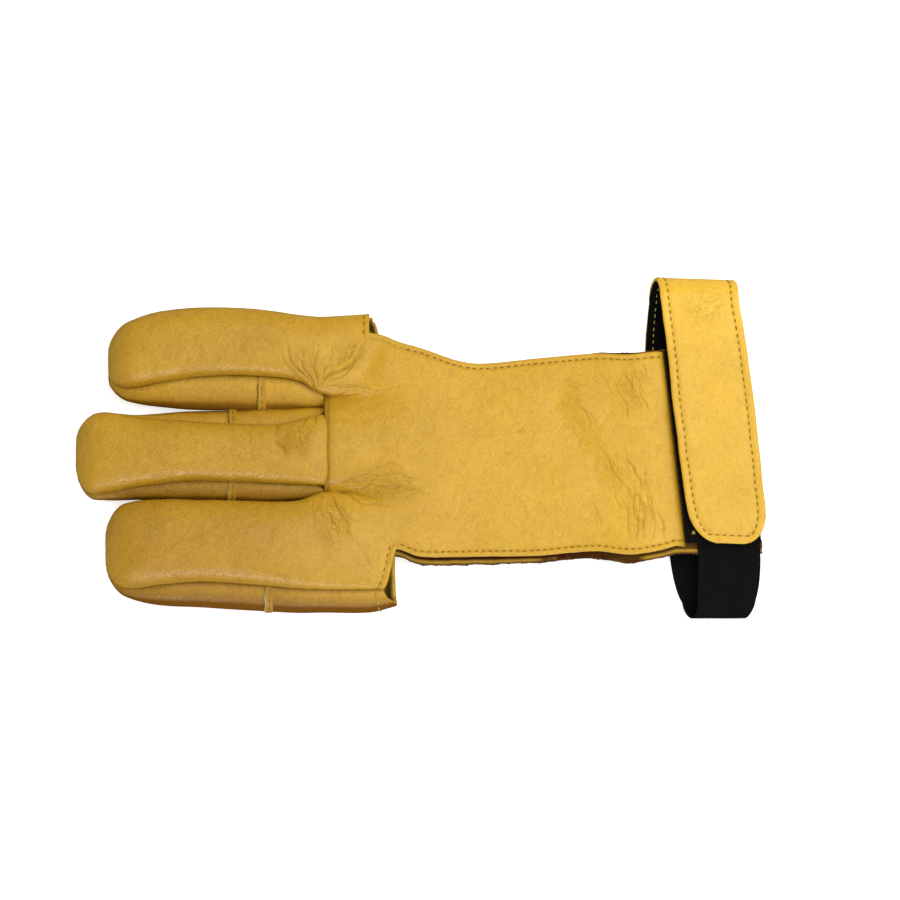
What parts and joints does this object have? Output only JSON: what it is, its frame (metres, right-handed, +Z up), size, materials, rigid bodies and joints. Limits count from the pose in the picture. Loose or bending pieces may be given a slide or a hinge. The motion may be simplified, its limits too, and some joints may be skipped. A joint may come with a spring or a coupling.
{
  "type": "archery glove",
  "caption": "Open-palm archery glove of golden-yellow leather with long finger stalls and a wrist band with hook-and-loop strap, lying palm down.",
  "frame": {"origin": "middle of the glove's box, on the surface that the glove lies on", "axes": "+X from the fingertips to the wrist, +Y across the hand towards the ring finger, +Z up out of the back of the hand"},
  "size_m": [0.2298, 0.1152, 0.019],
  "materials": {
    "leather": "semi-matte grained leather, golden yellow",
    "palm_leather": "semi-matte grained leather, golden yellow, suede inside",
    "suede": "matte suede with raw cut edges",
    "tape": "matte black hook and loop tape",
    "elastic": "matte black woven elastic"
  },
  "bodies": {
    "root": {"back_panel": "leather", "middle_back": "leather", "palm_panel": "palm_leather", "ring_outer_tip_gusset": "leather", "ring_outer_welt": "leather", "ring_inner_tip_gusset": "leather", "ring_inner_welt": "leather", "middle_high_tip_gusset": "leather", "middle_high_welt": "leather", "middle_low_tip_gusset": "leather", "middle_low_welt": "leather", "index_inner_tip_gusset": "leather", "index_inner_welt": "leather", "index_outer_tip_gusset": "leather", "index_outer_welt": "leather", "ring_side_gusset": "leather", "index_side_gusset": "leather", "ring_middle_web_gusset": "leather", "middle_index_web_gusset": "leather", "under_layer": "suede", "loop_tape": "tape", "strap": "leather", "hook_tape": "tape", "elastic_band": "elastic"}
  },
  "joints": []
}
